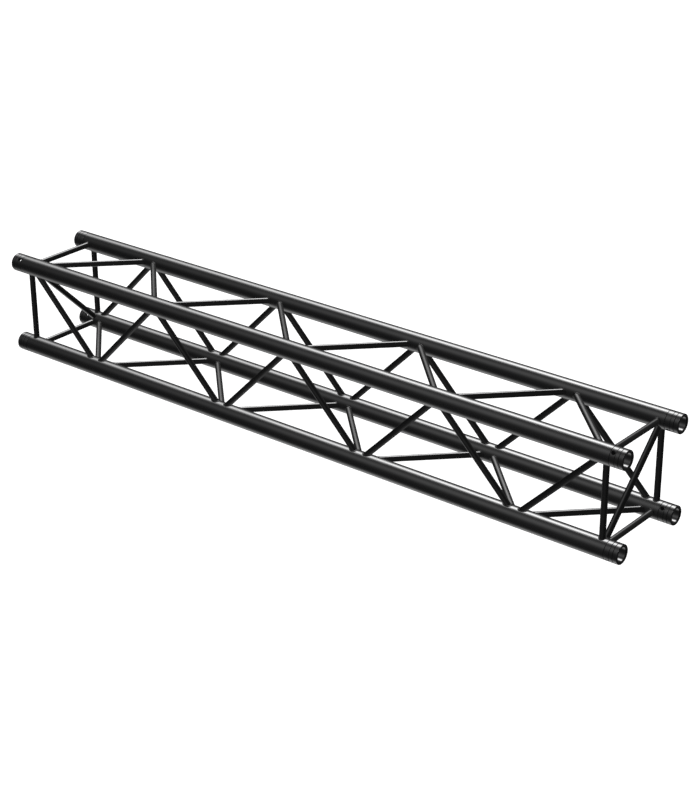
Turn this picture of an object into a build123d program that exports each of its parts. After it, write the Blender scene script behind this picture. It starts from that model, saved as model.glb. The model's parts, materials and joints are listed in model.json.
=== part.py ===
"""Square box truss section for stage lighting: 290 mm outside, 2 m long, all welded aluminium tube.

Origin at the centre of the section. +X runs along the truss to its right end, -Y is the front face
and +Z is up. Every length is in millimetres.
"""

from build123d import *
import os

# Overall
LENGTH = 2000.0
SPACING = 240.0
HALF = SPACING / 2

# Chord tubes
CHORD_R = 25.0
CHORD_WALL = 2.0

# Lacing and end-frame tubes
BRACE_R = 8.0
BRACE_WALL = 2.0
BAYS = 8
NODE_INSET = 62.5
END_FRAME_INSET = 55.0

# Coupler receivers, depths measured from the mouth
BARREL_LENGTH = 36.0
SPIGOT_END = 80.0
SPIGOT_R = 22.95
MOUTH_EDGE = 1.0
MOUTH_R = 19.0
LEAD_IN = 2.5
LAND_R = 17.5
LAND_END = 10.5
CONE_END = 66.0
CONE_END_R = 14.7
GROOVE_1_AT = 12.0
GROOVE_1_HALF_WIDTH = 0.9
GROOVE_1_DEPTH = 0.7
GROOVE_2_AT = 22.0
GROOVE_2_HALF_WIDTH = 0.5
GROOVE_2_DEPTH = 0.4
JOINT_BEVEL = 1.2
SPIGOT_BEVEL = 0.8
PIN_R = 5.25
PIN_AT = 28.5

# Welds
BEAD_REACH = 2.6
BEAD_HEIGHT = 2.5
BEAD_BEVEL = 1.4
RING_WELD_R = 24.6

# The four chords by name: which side in Y and Z each one stands on
CHORDS = {
    "front_top": (-1, 1),
    "rear_top": (1, 1),
    "front_bottom": (-1, -1),
    "rear_bottom": (1, -1),
}
ENDS = {"left": -1, "right": 1}

# Each face of lacing runs as a zigzag that starts on the first chord and crosses to the second
LACING = {
    "front": ("front_top", "front_bottom"),
    "rear": ("rear_bottom", "rear_top"),
    "top": ("front_top", "rear_top"),
    "bottom": ("rear_bottom", "front_bottom"),
}

# Tubes of one end frame, the same at both ends
FRAME_TUBES = {
    "post_front": ("front_bottom", "front_top"),
    "post_rear": ("rear_bottom", "rear_top"),
    "rail_top": ("front_top", "rear_top"),
    "rail_bottom": ("front_bottom", "rear_bottom"),
}
END_DIAGONALS = {
    "left": ("front_top", "rear_bottom"),
    "right": ("rear_top", "front_bottom"),
}


def on_chord(chord, x):
    """The point at x on the axis of a named chord."""
    side_y, side_z = CHORDS[chord]
    return Vector(x, side_y * HALF, side_z * HALF)


def write(piece, label):
    """Name one finished piece and store it."""
    piece.part.label = label
    export_step(piece.part, f"parts/{label}.step")


os.makedirs("parts", exist_ok=True)


# Chord tubes, between the receivers, with a bevel at each end for the ring weld
for chord in CHORDS:
    with BuildPart() as chord_tube:
        with BuildSketch(Plane(origin=on_chord(chord, 0), z_dir=(1, 0, 0))):
            Circle(CHORD_R)
            Circle(CHORD_R - CHORD_WALL, mode=Mode.SUBTRACT)
        extrude(amount=LENGTH / 2 - BARREL_LENGTH, both=True)
        rims = chord_tube.edges().filter_by(GeomType.CIRCLE).filter_by(lambda edge: edge.radius > CHORD_R - 1)
        chamfer(rims, JOINT_BEVEL)
    write(chord_tube, f"chord_{chord}")


# Receiver section: distance in from the mouth, then radius
RECEIVER_PROFILE = [
    (0, MOUTH_R),
    (0, CHORD_R - MOUTH_EDGE),
    (MOUTH_EDGE, CHORD_R),
    (GROOVE_1_AT - GROOVE_1_HALF_WIDTH, CHORD_R),
    (GROOVE_1_AT, CHORD_R - GROOVE_1_DEPTH),
    (GROOVE_1_AT + GROOVE_1_HALF_WIDTH, CHORD_R),
    (GROOVE_2_AT - GROOVE_2_HALF_WIDTH, CHORD_R),
    (GROOVE_2_AT, CHORD_R - GROOVE_2_DEPTH),
    (GROOVE_2_AT + GROOVE_2_HALF_WIDTH, CHORD_R),
    (BARREL_LENGTH - JOINT_BEVEL, CHORD_R),
    (BARREL_LENGTH, CHORD_R - JOINT_BEVEL),
    (BARREL_LENGTH, SPIGOT_R),
    (SPIGOT_END - SPIGOT_BEVEL, SPIGOT_R),
    (SPIGOT_END, SPIGOT_R - SPIGOT_BEVEL),
    (SPIGOT_END, CONE_END_R),
    (CONE_END, CONE_END_R),
    (LAND_END, LAND_R),
    (LEAD_IN, LAND_R),
]


# Coupler receivers: turned barrel, conical socket and one pin hole square to the socket, lying on the
# line from the chord to the middle of the truss
for chord, (side_y, side_z) in CHORDS.items():
    for end, side_x in ENDS.items():
        mouth = on_chord(chord, side_x * LENGTH / 2)
        pin_centre = on_chord(chord, side_x * (LENGTH / 2 - PIN_AT))
        with BuildPart() as receiver:
            with BuildSketch(Plane(origin=mouth, x_dir=(-side_x, 0, 0), z_dir=(0, -side_x, 0))):
                Polygon(*RECEIVER_PROFILE, align=None)
            revolve(axis=Axis(mouth, (side_x, 0, 0)))
            with BuildSketch(Plane(origin=pin_centre, z_dir=(0, side_y, side_z))):
                Circle(PIN_R)
            extrude(amount=CHORD_R + 1, both=True, mode=Mode.SUBTRACT)
        write(receiver, f"receiver_{chord}_{end}")


# Every lacing and end-frame tube: its name, and the two chords it joins with the x where its axis
# meets each one. The lacing runs at 45 degrees, centred on its bay.
pitch = (LENGTH - 2 * NODE_INSET) / BAYS
TUBES = {}
for face, (first, second) in LACING.items():
    for bay in range(BAYS):
        from_chord, to_chord = (first, second) if bay % 2 == 0 else (second, first)
        middle_x = NODE_INSET - LENGTH / 2 + (bay + 0.5) * pitch
        TUBES[f"brace_{face}_{bay + 1}"] = (from_chord, middle_x - HALF, to_chord, middle_x + HALF)
for end, side_x in ENDS.items():
    frame_x = side_x * (LENGTH / 2 - END_FRAME_INSET)
    for tube, (from_chord, to_chord) in FRAME_TUBES.items():
        TUBES[f"{tube}_{end}"] = (from_chord, frame_x, to_chord, frame_x)
    from_chord, to_chord = END_DIAGONALS[end]
    TUBES[f"end_diagonal_{end}"] = (from_chord, frame_x, to_chord, frame_x)


# Each tube is coped to the chords at both ends, so it sits on them without entering them
for name, (from_chord, from_x, to_chord, to_x) in TUBES.items():
    start = on_chord(from_chord, from_x)
    finish = on_chord(to_chord, to_x)
    with BuildPart() as brace:
        with BuildSketch(Plane(origin=start, z_dir=finish - start)):
            Circle(BRACE_R)
            Circle(BRACE_R - BRACE_WALL, mode=Mode.SUBTRACT)
        extrude(amount=(finish - start).length)
        with Locations(on_chord(from_chord, 0), on_chord(to_chord, 0)):
            Cylinder(CHORD_R, LENGTH, rotation=(0, 90, 0), mode=Mode.SUBTRACT)
    write(brace, name)


def weld_bead(foot, far_end):
    """The bead around one tube's foot: a bevelled collar on the chord, close around the tube."""
    with BuildPart() as bead:
        with BuildSketch(Plane(origin=foot, z_dir=far_end - foot)):
            Circle(BRACE_R + BEAD_REACH)
        extrude(amount=2 * CHORD_R)
        with Locations((0, foot.Y, foot.Z)):
            Cylinder(CHORD_R + BEAD_HEIGHT, LENGTH, rotation=(0, 90, 0), mode=Mode.INTERSECT)
        top_edge = bead.edges().filter_by(GeomType.BSPLINE)
        chamfer(top_edge, BEAD_BEVEL)
        with Locations((0, foot.Y, foot.Z)):
            Cylinder(CHORD_R, LENGTH, rotation=(0, 90, 0), mode=Mode.SUBTRACT)
        with BuildSketch(Plane(origin=foot, z_dir=far_end - foot)):
            Circle(BRACE_R)
        extrude(amount=2 * CHORD_R, mode=Mode.SUBTRACT)
    return bead.part


# Weld beads, one group for each chord. Where beads meet at the end frames they run into each other.
for chord in CHORDS:
    with BuildPart() as welds:
        for from_chord, from_x, to_chord, to_x in TUBES.values():
            if from_chord == chord:
                add(weld_bead(on_chord(chord, from_x), on_chord(to_chord, to_x)))
            if to_chord == chord:
                add(weld_bead(on_chord(chord, to_x), on_chord(from_chord, from_x)))
    write(welds, f"welds_{chord}")


# Ring welds, lying a little below the surface in the bevel between each receiver and its chord
with BuildPart() as ring_welds:
    for chord in CHORDS:
        for side_x in ENDS.values():
            joint = on_chord(chord, side_x * (LENGTH / 2 - BARREL_LENGTH))
            rise = RING_WELD_R - (CHORD_R - JOINT_BEVEL)
            with BuildSketch(Plane(origin=joint, x_dir=(1, 0, 0), z_dir=(0, -1, 0))):
                Polygon(
                    (0, CHORD_R - JOINT_BEVEL),
                    (rise, RING_WELD_R),
                    (-rise, RING_WELD_R),
                    align=None,
                )
            revolve(axis=Axis(joint, (1, 0, 0)))
write(ring_welds, "ring_welds")
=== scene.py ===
"""Looks of a square box truss section: black powder-coated aluminium tube, welded throughout.

Metres throughout. +X runs along the truss to its right end, -Y is the front face, +Z is up.
"""

import json
import math
import random

import bpy
from mathutils import Matrix, Vector

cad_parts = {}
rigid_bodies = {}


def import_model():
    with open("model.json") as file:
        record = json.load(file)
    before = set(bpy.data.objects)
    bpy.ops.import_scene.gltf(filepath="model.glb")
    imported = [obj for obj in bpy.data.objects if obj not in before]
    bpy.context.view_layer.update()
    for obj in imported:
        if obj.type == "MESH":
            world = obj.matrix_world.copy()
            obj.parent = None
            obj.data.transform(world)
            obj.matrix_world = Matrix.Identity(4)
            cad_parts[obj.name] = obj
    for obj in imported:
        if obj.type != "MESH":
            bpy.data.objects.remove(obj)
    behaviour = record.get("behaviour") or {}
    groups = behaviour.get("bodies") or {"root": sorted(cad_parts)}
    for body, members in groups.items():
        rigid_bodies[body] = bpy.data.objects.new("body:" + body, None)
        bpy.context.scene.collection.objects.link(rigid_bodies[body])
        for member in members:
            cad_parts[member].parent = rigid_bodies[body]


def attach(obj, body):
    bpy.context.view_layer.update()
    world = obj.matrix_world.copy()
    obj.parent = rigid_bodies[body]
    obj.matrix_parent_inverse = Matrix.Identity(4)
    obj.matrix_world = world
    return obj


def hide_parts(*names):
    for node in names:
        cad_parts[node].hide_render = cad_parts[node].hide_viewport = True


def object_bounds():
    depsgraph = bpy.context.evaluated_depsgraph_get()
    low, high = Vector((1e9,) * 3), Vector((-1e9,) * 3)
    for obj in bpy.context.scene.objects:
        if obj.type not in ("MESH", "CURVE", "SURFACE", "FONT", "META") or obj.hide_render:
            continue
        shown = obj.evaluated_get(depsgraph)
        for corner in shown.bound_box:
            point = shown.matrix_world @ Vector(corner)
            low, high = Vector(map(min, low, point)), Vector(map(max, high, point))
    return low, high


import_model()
cad_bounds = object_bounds()

MM = 0.001
BODY = "root"

# Overall, chords and lacing
LENGTH = 2000 * MM
HALF = 120 * MM
CHORD_R = 25 * MM
CHORD_BORE = 23 * MM
BRACE_R = 8 * MM
BRACE_BORE = 6 * MM
BAYS = 8
NODE_INSET = 62.5 * MM
END_FRAME_INSET = 55 * MM

# Receivers, depths from the mouth
BARREL = 36 * MM
MOUTH_R = 19 * MM
PIN_AT = 28.5 * MM
PIN_R = 5.25 * MM
PIN_FLARE = 0.7 * MM
JOINT_BEVEL = 0.8 * MM
# The turned section as (depth, radius) in millimetres
RECEIVER_PROFILE = [
    (0, 19), (0, 24), (1, 25), (11.1, 25), (12, 24.3), (12.9, 25), (21.3, 25), (22, 24.4), (22.7, 25),
    (35.2, 25), (36, 24.2), (36, 22.95), (79.2, 22.95), (80, 22.15), (80, 14.7), (66, 14.7),
    (10.5, 17.5), (2.5, 17.5),
]

# Which side in Y and Z each chord stands on, and in X each end
CHORDS = {"front_top": (-1, 1), "rear_top": (1, 1), "front_bottom": (-1, -1), "rear_bottom": (1, -1)}
ENDS = {"left": -1, "right": 1}

# The chords that each face's zigzag and each tube of an end frame run between
LACING = {
    "front": ("front_top", "front_bottom"),
    "rear": ("rear_bottom", "rear_top"),
    "top": ("front_top", "rear_top"),
    "bottom": ("rear_bottom", "front_bottom"),
}
FRAME_TUBES = {
    "post_front": ("front_bottom", "front_top"),
    "post_rear": ("rear_bottom", "rear_top"),
    "rail_top": ("front_top", "rear_top"),
    "rail_bottom": ("front_bottom", "rear_bottom"),
}
END_DIAGONALS = {"left": ("front_top", "rear_bottom"), "right": ("rear_top", "front_bottom")}

# Faceting
CHORD_SEGMENTS = 128
RECEIVER_SEGMENTS = 160
PIN_SEGMENTS = 48
BRACE_SEGMENTS = 48
CHORD_EDGE = 0.3 * MM
RECEIVER_EDGE = 0.35 * MM
RECEIVER_STEP = 1.5 * MM

# Weld beads around the feet of the lacing
BEAD_STEPS = 150
BEAD_RIPPLES = 30
BEAD_REACH = 1.7 * MM
BEAD_HEIGHT = 1.6 * MM
BEAD_SECTION = 7
BEAD_OVERLAP = 0.05 * MM
BEAD_CROWN = 0.34

# Ring welds between receivers and chords, with the section as (along, radius) in millimetres
RING_SEGMENTS = 240
RING_RIPPLES = 60
RING_RIPPLE_DEPTH = 0.07 * MM
RING_PROFILE = [(0, 24.1), (0.5, 24.6), (0.28, 24.46), (0, 24.4), (-0.28, 24.46), (-0.5, 24.6)]


# ---------------------------------------------------------------- materials


def add_node(tree, kind, **values):
    """A new shader node, with each value set on the input of that name or else as a property."""
    node = tree.nodes.new(kind)
    for key, value in values.items():
        if key in node.inputs:
            node.inputs[key].default_value = value
        else:
            setattr(node, key, value)
    return node


def noise(tree, coords, scale, detail, rough):
    """The value of a noise texture."""
    node = add_node(tree, "ShaderNodeTexNoise", Scale=scale, Detail=detail, Roughness=rough)
    tree.links.new(coords, node.inputs["Vector"])
    return node.outputs["Fac"]


def remap(tree, value, low, high, to_low, to_high):
    """A value moved from one range to another, held to the ends of the new one."""
    node = tree.nodes.new("ShaderNodeMapRange")
    node.inputs["From Min"].default_value = low
    node.inputs["From Max"].default_value = high
    node.inputs["To Min"].default_value = to_low
    node.inputs["To Max"].default_value = to_high
    tree.links.new(value, node.inputs["Value"])
    return node.outputs["Result"]


def powder_coat(name, dark, light, rough_low, rough_high, peel, shine=0.5):
    """Satin black powder coat: fine orange peel, cloudy gloss, a little pale dust in the texture.

    The roughness wanders between its two limits, peel is the strength of the orange peel and shine the
    specular level.
    """
    material = bpy.data.materials.new(name)
    material.use_nodes = True
    tree = material.node_tree
    shader = tree.nodes["Principled BSDF"]
    shader.inputs["Metallic"].default_value = 0.0
    shader.inputs["IOR"].default_value = 1.5
    shader.inputs["Specular IOR Level"].default_value = shine
    coords = tree.nodes.new("ShaderNodeTexCoord").outputs["Object"]

    clouds = noise(tree, coords, 9.0, 4.0, 0.6)
    grain = noise(tree, coords, 1400.0, 2.0, 0.6)
    tone = add_node(tree, "ShaderNodeMix", data_type="RGBA", blend_type="MIX")
    tone.inputs["A"].default_value = (*dark, 1)
    tone.inputs["B"].default_value = (*light, 1)
    tree.links.new(remap(tree, clouds, 0.35, 0.7, 0.0, 0.6), tone.inputs["Factor"])
    dust = add_node(tree, "ShaderNodeMix", data_type="RGBA", blend_type="MIX")
    dust.inputs["B"].default_value = (0.03, 0.03, 0.031, 1)
    tree.links.new(tone.outputs["Result"], dust.inputs["A"])
    tree.links.new(remap(tree, grain, 0.66, 0.8, 0.0, 0.2), dust.inputs["Factor"])
    tree.links.new(dust.outputs["Result"], shader.inputs["Base Color"])

    patches = noise(tree, coords, 45.0, 3.0, 0.55)
    tree.links.new(remap(tree, patches, 0.3, 0.7, rough_low, rough_high), shader.inputs["Roughness"])

    orange = noise(tree, coords, 620.0, 1.5, 0.5)
    bump = add_node(tree, "ShaderNodeBump", Strength=peel, Distance=0.00012)
    tree.links.new(orange, bump.inputs["Height"])
    fine = add_node(tree, "ShaderNodeBump", Strength=peel * 0.6, Distance=0.00003)
    tree.links.new(grain, fine.inputs["Height"])
    tree.links.new(bump.outputs["Normal"], fine.inputs["Normal"])
    tree.links.new(fine.outputs["Normal"], shader.inputs["Normal"])
    return material


BLACK = (0.0014, 0.0014, 0.0016)
WORN_BLACK = (0.0026, 0.0026, 0.0028)
WELD_BLACK = (0.0030, 0.0030, 0.0032)
WORN_WELD_BLACK = (0.0060, 0.0060, 0.0063)

TUBE_COAT = powder_coat("coat_tube", BLACK, WORN_BLACK, 0.15, 0.20, 0.18)
RECEIVER_COAT = powder_coat("coat_receiver", BLACK, WORN_BLACK, 0.14, 0.19, 0.15)
WELD_COAT = powder_coat("coat_weld", WELD_BLACK, WORN_WELD_BLACK, 0.34, 0.46, 0.5, 0.18)
# A coat with almost no shine, put in the grooves, joints, pin holes and deep in the sockets as painted shade
SHADE_COAT = powder_coat("coat_painted_shade", BLACK, WORN_BLACK, 0.5, 0.6, 0.4, 0.05)


# ---------------------------------------------------------------- mesh helpers


def place(piece, node):
    """Link one piece, kept out of reflections and shadows, and stand it in for its CAD node."""
    bpy.context.scene.collection.objects.link(piece)
    piece.visible_glossy = False
    piece.visible_shadow = False
    if node:
        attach(piece, BODY)
        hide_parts(node)


def finish_piece(name, vertices, faces, material, node=None, sharp_deg=40.0, shade_faces=()):
    """One smooth-shaded piece. The shade faces take the near-shineless coat of painted shade instead of the
    material.
    """
    mesh = bpy.data.meshes.new(name)
    mesh.from_pydata([tuple(v) for v in vertices], [], faces)
    mesh.materials.append(material)
    mesh.materials.append(SHADE_COAT)
    for index in shade_faces:
        mesh.polygons[index].material_index = 1
    mesh.validate()
    mesh.update()
    mesh.shade_smooth()
    mesh.set_sharp_from_angle(angle=math.radians(sharp_deg))
    piece = bpy.data.objects.new(name, mesh)
    place(piece, node)
    return piece


def rounded(profile, radius, steps=3):
    """The closed profile with each corner turned into a short arc."""
    result = []
    count = len(profile)
    for i, corner in enumerate(profile):
        here = Vector(corner)
        back = Vector(profile[i - 1]) - here
        ahead = Vector(profile[(i + 1) % count]) - here
        turn = math.pi - back.angle(ahead)
        if turn < math.radians(4):
            result.append(here)
            continue
        reach = min(radius * math.tan(turn / 2), back.length * 0.45, ahead.length * 0.45)
        first = here + back.normalized() * reach
        last = here + ahead.normalized() * reach
        for k in range(steps + 1):
            t = k / steps
            result.append(first * (1 - t) ** 2 + here * 2 * t * (1 - t) + last * t * t)
    return result


def spread(profile, step, deepest):
    """The profile with extra points where it runs straight, down to the deepest depth that needs them."""
    result = []
    for i, here in enumerate(profile):
        ahead = profile[(i + 1) % len(profile)]
        result.append(here)
        if here[0] > deepest and ahead[0] > deepest:
            continue
        count = int((Vector(ahead) - Vector(here)).length // step)
        for k in range(1, count):
            result.append(Vector(here).lerp(Vector(ahead), k / count))
    return result


def lathe(origin, axis, side, profile, segments):
    """Vertices and faces of a closed profile of (along, radius) turned about an axis."""
    axis = Vector(axis).normalized()
    side = Vector(side).normalized()
    other = axis.cross(side)
    vertices = []
    for along, radius in profile:
        for k in range(segments):
            angle = 2 * math.pi * k / segments
            around = side * math.cos(angle) + other * math.sin(angle)
            vertices.append(origin + axis * along + around * radius)
    rings = len(profile)
    faces = []
    for i in range(rings):
        a, b = i * segments, (i + 1) % rings * segments
        for k in range(segments):
            n = (k + 1) % segments
            faces.append((a + k, a + n, b + n, b + k))
    return vertices, faces


def outward(vertices, faces):
    """The faces, all turned over if the closed mesh is inside out."""
    volume = 0.0
    for face in faces:
        a = vertices[face[0]]
        for i in range(1, len(face) - 1):
            volume += a.dot(vertices[face[i]].cross(vertices[face[i + 1]]))
    return faces if volume > 0 else [tuple(reversed(face)) for face in faces]


def shade_rings(profile, segments, inner, spans, outer=1.0):
    """The faces of a lathed piece between two radii that lie between the given distances, which take painted
    shade.
    """
    found = []
    for i, here in enumerate(profile):
        ahead = profile[(i + 1) % len(profile)]
        middle, radius = (here[0] + ahead[0]) / 2, (here[1] + ahead[1]) / 2
        if inner < radius < outer and any(low < middle < high for low, high in spans):
            found += range(i * segments, (i + 1) * segments)
    return found


def on_chord(chord, x):
    """The point at x on the axis of a named chord."""
    side_y, side_z = CHORDS[chord]
    return Vector((x, side_y * HALF, side_z * HALF))


# ---------------------------------------------------------------- chords

for chord in CHORDS:
    end_x = LENGTH / 2 - BARREL
    outline = [
        (-end_x, CHORD_BORE), (-end_x, CHORD_R - JOINT_BEVEL), (-end_x + JOINT_BEVEL, CHORD_R),
        (end_x - JOINT_BEVEL, CHORD_R), (end_x, CHORD_R - JOINT_BEVEL), (end_x, CHORD_BORE),
    ]
    outline = rounded(outline, CHORD_EDGE)
    verts, polys = lathe(on_chord(chord, 0), (1, 0, 0), (0, 1, 0), outline, CHORD_SEGMENTS)
    ends = [(-end_x, -end_x + JOINT_BEVEL), (end_x - JOINT_BEVEL, end_x)]
    # The joint bevels at the tube's ends take painted shade
    bevel = shade_rings(outline, CHORD_SEGMENTS, CHORD_BORE + 0.2 * MM, ends)
    finish_piece(
        f"tube_{chord}", verts, outward(verts, polys), TUBE_COAT, f"chord_{chord}", shade_faces=bevel
    )


# ---------------------------------------------------------------- receivers

# The depths of a receiver that take painted shade: the two grooves and the joint bevel outside, and inside
# the lead-in and the end of the socket
OUTER_SHADE = [(11.1 * MM, 12.9 * MM), (21.3 * MM, 22.7 * MM), (BARREL - JOINT_BEVEL, BARREL + 0.1 * MM)]
INNER_SHADE = [(0.05 * MM, 2.6 * MM), (30 * MM, 70 * MM)]

# The pin hole's cutter as (along, radius), with a flare where it comes out of the barrel on each side
CUTTER_END = 32 * MM
FLARE_FROM, FLARE_TO = 23.9 * MM, 25.3 * MM
CUTTER_TIP_R = 0.0001 * MM
half_cutter = [
    (FLARE_FROM, PIN_R), (FLARE_TO, PIN_R + PIN_FLARE), (CUTTER_END, PIN_R + PIN_FLARE),
    (CUTTER_END, CUTTER_TIP_R),
]
cutter_profile = [(-along, radius) for along, radius in reversed(half_cutter)] + half_cutter

for chord, (side_y, side_z) in CHORDS.items():
    for end, side_x in ENDS.items():
        mouth = on_chord(chord, side_x * LENGTH / 2)
        section = [(depth * MM, radius * MM) for depth, radius in RECEIVER_PROFILE]
        section = spread(rounded(section, RECEIVER_EDGE), RECEIVER_STEP, 60 * MM)
        verts, polys = lathe(mouth, (-side_x, 0, 0), (0, 1, 0), section, RECEIVER_SEGMENTS)
        receiver_shade = shade_rings(section, RECEIVER_SEGMENTS, CHORD_BORE, OUTER_SHADE)
        receiver_shade += shade_rings(section, RECEIVER_SEGMENTS, 0, INNER_SHADE, MOUTH_R + 0.1 * MM)
        name = f"receiver_{chord}_{end}_body"
        body = finish_piece(name, verts, outward(verts, polys), RECEIVER_COAT, shade_faces=receiver_shade)

        radial = Vector((0, side_y, side_z)).normalized()
        centre = on_chord(chord, side_x * (LENGTH / 2 - PIN_AT))
        verts, polys = lathe(centre, radial, (1, 0, 0), cutter_profile, PIN_SEGMENTS)
        polys = outward(verts, polys)
        # Every face of the cutter takes painted shade, which the cut leaves on the walls of the pin hole
        cutter = finish_piece("pin_cutter", verts, polys, RECEIVER_COAT, shade_faces=range(len(polys)))
        cut = body.modifiers.new("pin_hole", "BOOLEAN")
        cut.operation = "DIFFERENCE"
        cut.object = cutter
        cut.solver = "EXACT"
        depsgraph = bpy.context.evaluated_depsgraph_get()
        cut_mesh = bpy.data.meshes.new_from_object(body.evaluated_get(depsgraph))
        bpy.data.objects.remove(cutter)
        bpy.data.objects.remove(body)
        cut_mesh.name = f"coupler_{chord}_{end}"
        cut_mesh.shade_smooth()
        cut_mesh.set_sharp_from_angle(angle=math.radians(32))
        piece = bpy.data.objects.new(f"coupler_{chord}_{end}", cut_mesh)
        place(piece, f"receiver_{chord}_{end}")


# ---------------------------------------------------------------- lacing and end frames

pitch = (LENGTH - 2 * NODE_INSET) / BAYS
TUBES = {}
for face, (first, second) in LACING.items():
    for bay in range(BAYS):
        from_chord, to_chord = (first, second) if bay % 2 == 0 else (second, first)
        middle = NODE_INSET - LENGTH / 2 + (bay + 0.5) * pitch
        TUBES[f"brace_{face}_{bay + 1}"] = (from_chord, middle - HALF, to_chord, middle + HALF)
for end, side_x in ENDS.items():
    frame_x = side_x * (LENGTH / 2 - END_FRAME_INSET)
    for tube, (from_chord, to_chord) in FRAME_TUBES.items():
        TUBES[f"{tube}_{end}"] = (from_chord, frame_x, to_chord, frame_x)
    from_chord, to_chord = END_DIAGONALS[end]
    TUBES[f"end_diagonal_{end}"] = (from_chord, frame_x, to_chord, frame_x)


def leave(foot, direction, offset, radius):
    """Where a line beside a tube's axis, starting at a chord's axis, comes out of that chord's radius."""
    a = direction.y ** 2 + direction.z ** 2
    b = offset.y * direction.y + offset.z * direction.z
    c = offset.y ** 2 + offset.z ** 2 - radius ** 2
    return foot + offset + direction * ((-b + math.sqrt(b * b - a * c)) / a)


def cross_axes(direction):
    """Two unit vectors square to a direction and to each other."""
    side = Vector((0, 1, 0)) if abs(direction.y) < 0.5 else Vector((0, 0, 1))
    first = direction.cross(side).normalized()
    return first, direction.cross(first).normalized()


for name, (from_chord, from_x, to_chord, to_x) in TUBES.items():
    start, finish = on_chord(from_chord, from_x), on_chord(to_chord, to_x)
    direction = (finish - start).normalized()
    first, second = cross_axes(direction)
    rings = []
    for radius, foot, heading in (
        (BRACE_R, start, direction), (BRACE_R, finish, -direction),
        (BRACE_BORE, finish, -direction), (BRACE_BORE, start, direction),
    ):
        ring = []
        for k in range(BRACE_SEGMENTS):
            angle = 2 * math.pi * k / BRACE_SEGMENTS
            offset = (first * math.cos(angle) + second * math.sin(angle)) * radius
            ring.append(leave(foot, heading, offset, CHORD_R))
        rings.append(ring)
    verts = [v for ring in rings for v in ring]
    polys = []
    for i in range(4):
        a, b = i * BRACE_SEGMENTS, (i + 1) % 4 * BRACE_SEGMENTS
        for k in range(BRACE_SEGMENTS):
            n = (k + 1) % BRACE_SEGMENTS
            polys.append((a + k, a + n, b + n, b + k))
    finish_piece(f"tube_{name}", verts, outward(verts, polys), TUBE_COAT, name)


# ---------------------------------------------------------------- welds

def bead(foot, direction, rng):
    """A rippled fillet bead around one tube's foot, as a closed ring of closed sections."""
    first, second = cross_axes(direction)
    phase = rng.uniform(0, 2 * math.pi)
    sway = [(rng.uniform(0.02, 0.07), rng.uniform(0, 2 * math.pi), harmonic) for harmonic in (2, 3, 5)]
    rings = []
    for step in range(BEAD_STEPS):
        angle = 2 * math.pi * step / BEAD_STEPS
        around = first * math.cos(angle) + second * math.sin(angle)
        size = 1 + sum(amount * math.sin(harmonic * angle + offset) for amount, offset, harmonic in sway)
        saw = (angle * BEAD_RIPPLES / (2 * math.pi) + phase) % 1.0
        ripple = 0.86 + 0.14 * math.sin(math.pi * saw) ** 0.6
        toe = leave(foot, direction, around * (BRACE_R + BEAD_REACH * size), CHORD_R - BEAD_OVERLAP)
        wall = leave(foot, direction, around * (BRACE_R - BEAD_OVERLAP), CHORD_R + BEAD_HEIGHT * size)
        root = leave(foot, direction, around * (BRACE_R - BEAD_OVERLAP), CHORD_R - BEAD_OVERLAP)
        middle = (toe + wall) / 2
        crown = middle + (middle - root) * BEAD_CROWN * ripple
        ring = []
        for k in range(BEAD_SECTION):
            t = k / (BEAD_SECTION - 1)
            ring.append(wall * (1 - t) ** 2 + (crown * 2 - middle) * 2 * t * (1 - t) + toe * t * t)
        ring.append(root)
        rings.append(ring)
    size = BEAD_SECTION + 1
    vertices = [v for ring in rings for v in ring]
    faces = []
    for step in range(BEAD_STEPS):
        a, b = step * size, (step + 1) % BEAD_STEPS * size
        for k in range(size):
            n = (k + 1) % size
            faces.append((a + k, a + n, b + n, b + k))
    return vertices, outward(vertices, faces)


for number, chord in enumerate(CHORDS):
    rng = random.Random(40 + number)
    verts, polys = [], []
    for from_chord, from_x, to_chord, to_x in TUBES.values():
        start, finish = on_chord(from_chord, from_x), on_chord(to_chord, to_x)
        for here, foot, heading in ((from_chord, start, finish - start), (to_chord, finish, start - finish)):
            if here == chord:
                more, rows = bead(foot, heading.normalized(), rng)
                base = len(verts)
                verts += more
                polys += [tuple(base + index for index in row) for row in rows]
    finish_piece(f"beads_{chord}", verts, polys, WELD_COAT, f"welds_{chord}", 60)

verts, polys = [], []
for chord in CHORDS:
    for side_x in ENDS.values():
        joint = on_chord(chord, side_x * (LENGTH / 2 - BARREL))
        outline = [(along * MM, radius * MM) for along, radius in RING_PROFILE]
        more, rows = lathe(joint, (1, 0, 0), (0, 1, 0), outline, RING_SEGMENTS)
        rows = outward(more, rows)
        for index, vertex in enumerate(more):
            if index >= RING_SEGMENTS:
                angle = 2 * math.pi * (index % RING_SEGMENTS) / RING_SEGMENTS
                lean = (vertex.x - joint.x) / MM
                dip = RING_RIPPLE_DEPTH * (1 + math.sin(angle * RING_RIPPLES + lean * 2))
                vertex.yz -= (vertex.yz - joint.yz).normalized() * dip
        base = len(verts)
        verts += more
        polys += [tuple(base + index for index in row) for row in rows]
# The ring beads take painted shade, darkening the crevice of the joint between receiver and chord
finish_piece("ring_beads", verts, polys, SHADE_COAT, "ring_welds", 60)


# ---------------------------------------------------------------- floor, light, camera

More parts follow.
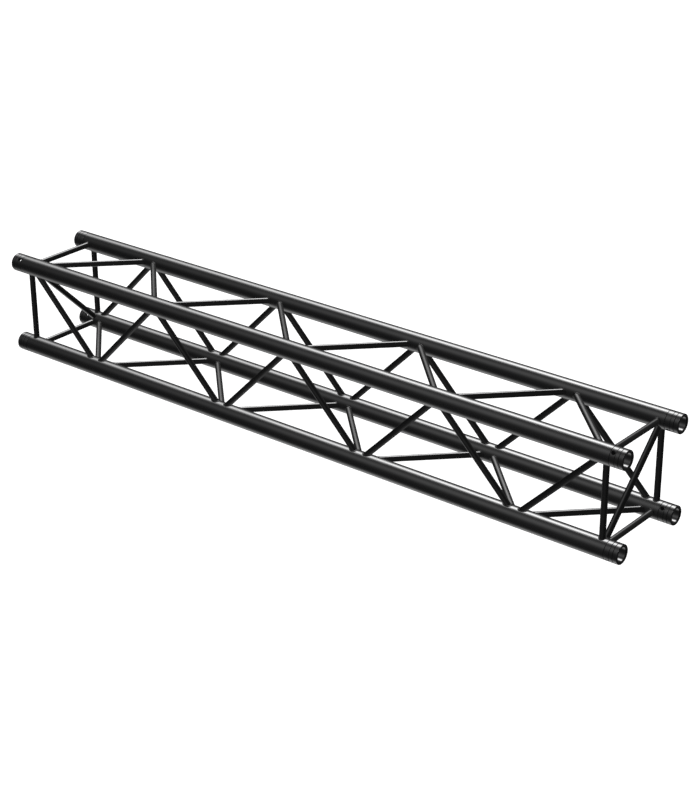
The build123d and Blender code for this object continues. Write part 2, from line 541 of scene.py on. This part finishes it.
FLOOR_REACH = 60.0
floor_z = cad_bounds[0][2] - 0.2 * MM
floor_mesh = bpy.data.meshes.new("floor")
floor_mesh.from_pydata(
    [(x * FLOOR_REACH, y * FLOOR_REACH, floor_z) for x, y in ((-1, -1), (1, -1), (1, 1), (-1, 1))],
    [],
    [(0, 1, 2, 3)],
)
floor = bpy.data.objects.new("floor", floor_mesh)
bpy.context.scene.collection.objects.link(floor)
floor_material = bpy.data.materials.new("floor_white")
floor_material.use_nodes = True
floor_shader = floor_material.node_tree.nodes["Principled BSDF"]
floor_shader.inputs["Base Color"].default_value = (0.3, 0.3, 0.3, 1)
floor_shader.inputs["Roughness"].default_value = 0.9
floor_shader.inputs["Specular IOR Level"].default_value = 0.0
floor_shader.inputs["Emission Color"].default_value = (1, 1, 1, 1)
floor_shader.inputs["Emission Strength"].default_value = 0.88
floor_mesh.materials.append(floor_material)
floor.visible_glossy = False
floor.visible_shadow = False

# Studio light, as soft patches of (direction, sharpness, strength): a bright softbox high behind the truss
# in three steps with a halo, a weaker one over the front, a little light from below, and two broad dim
# ones for the room. The backdrop itself shows white.
ROOM_LIGHT = 0.02
SOFTBOXES = [
    ((-0.342, 0.484, 0.806), 36.0, 16.5),
    ((-0.545, 0.432, 0.719), 36.0, 5.0),
    ((-0.731, 0.351, 0.585), 36.0, 2.6),
    ((-0.45, 0.45, 0.77), 9.0, 0.9),
    ((-0.35, -0.62, 0.70), 12.0, 1.3),
    ((-0.47, 0.02, -0.88), 13.0, 1.5),
    ((0.20, -0.97, 0.10), 2.5, 0.25),
    ((0.43, 0.78, 0.46), 3.0, 0.16),
]

world = bpy.data.worlds.new("studio")
bpy.context.scene.world = world
world.use_nodes = True
tree = world.node_tree
tree.nodes.clear()
coords = tree.nodes.new("ShaderNodeTexCoord").outputs["Generated"]


def arithmetic(operation, value, amount=None):
    """The result of a maths node on a value, and on a fixed amount where it takes one."""
    node = add_node(tree, "ShaderNodeMath", operation=operation)
    tree.links.new(value, node.inputs[0])
    if amount is not None:
        node.inputs[1].default_value = amount
    return node.outputs["Value"]


room = tree.nodes.new("ShaderNodeValue").outputs["Value"]
room.default_value = ROOM_LIGHT
total = room
for direction, sharpness, strength in SOFTBOXES:
    towards = add_node(tree, "ShaderNodeVectorMath", operation="DOT_PRODUCT")
    tree.links.new(coords, towards.inputs[0])
    towards.inputs[1].default_value = Vector(direction).normalized()
    glow = arithmetic("MULTIPLY", arithmetic("SUBTRACT", towards.outputs["Value"], 1.0), sharpness)
    glow = arithmetic("MULTIPLY", arithmetic("EXPONENT", glow), strength)
    both = add_node(tree, "ShaderNodeMath", operation="ADD")
    tree.links.new(total, both.inputs[0])
    tree.links.new(glow, both.inputs[1])
    total = both.outputs["Value"]
seen = tree.nodes.new("ShaderNodeLightPath")
strength = add_node(tree, "ShaderNodeMix", data_type="FLOAT")
strength.inputs["B"].default_value = 1.0
tree.links.new(seen.outputs["Is Camera Ray"], strength.inputs["Factor"])
tree.links.new(total, strength.inputs["A"])
background = add_node(tree, "ShaderNodeBackground")
background.inputs["Color"].default_value = (1, 1, 1, 1)
tree.links.new(strength.outputs["Result"], background.inputs["Strength"])
output = tree.nodes.new("ShaderNodeOutputWorld")
tree.links.new(background.outputs["Background"], output.inputs["Surface"])

# The world gives the highlights on the side turned to the camera. These lamps do the same for the chords
# and receivers when the truss is seen from behind, from above or from the left.
chord_pieces = bpy.data.collections.new("chord_pieces")
for piece in bpy.context.scene.objects:
    if piece.name.startswith("coupler_") or piece.name in [f"tube_{chord}" for chord in CHORDS]:
        chord_pieces.objects.link(piece)
LAMP_ANGLE = math.radians(22)
LAMP_TILT = math.radians(59)
for name, side, strength in (("rear_bar", -1, 0.9), ("left_bar", 1, 0.4)):
    for number, swing in enumerate((0, 20, 40)):
        swing = math.radians(swing)
        across = math.cos(swing)
        towards = Vector((
            math.sin(swing), side * across * math.cos(LAMP_TILT), across * math.sin(LAMP_TILT)
        ))
        light = bpy.data.lights.new(f"{name}_{number}", "SUN")
        light.angle = LAMP_ANGLE
        light.energy = strength
        lamp = bpy.data.objects.new(f"{name}_{number}", light)
        lamp.rotation_mode = "QUATERNION"
        lamp.rotation_quaternion = towards.to_track_quat("Z", "Y")
        bpy.context.scene.collection.objects.link(lamp)
        lamp.light_linking.receiver_collection = chord_pieces

# The camera looks along -back from back * DISTANCE, then slides aside so that the truss sits in the picture
# as it should
AZIMUTH, ELEVATION, ROLL = (math.radians(angle) for angle in (39.136, 24.883, -0.243))
DISTANCE = 5.041
FOCAL_LENGTH = 87.5925
SLIDE_X, SLIDE_Y = -0.08127, 0.05792
back = Vector((
    math.sin(AZIMUTH) * math.cos(ELEVATION), -math.cos(AZIMUTH) * math.cos(ELEVATION), math.sin(ELEVATION)
))
level = (-back).cross(Vector((0, 0, 1))).normalized()
rise = level.cross(-back)
right = level * math.cos(ROLL) + rise * math.sin(ROLL)
up = rise * math.cos(ROLL) - level * math.sin(ROLL)
camera_data = bpy.data.cameras.new("camera")
camera_data.sensor_width = 36
camera_data.lens = FOCAL_LENGTH
camera_data.clip_end = 200
camera = bpy.data.objects.new("camera", camera_data)
camera.matrix_world = (
    Matrix.Translation(back * DISTANCE - right * SLIDE_X - up * SLIDE_Y)
    @ Matrix((right, up, back)).transposed().to_4x4()
)
bpy.context.scene.collection.objects.link(camera)
bpy.context.scene.camera = camera
bpy.context.scene.view_settings.view_transform = "Standard"

bpy.context.view_layer.update()
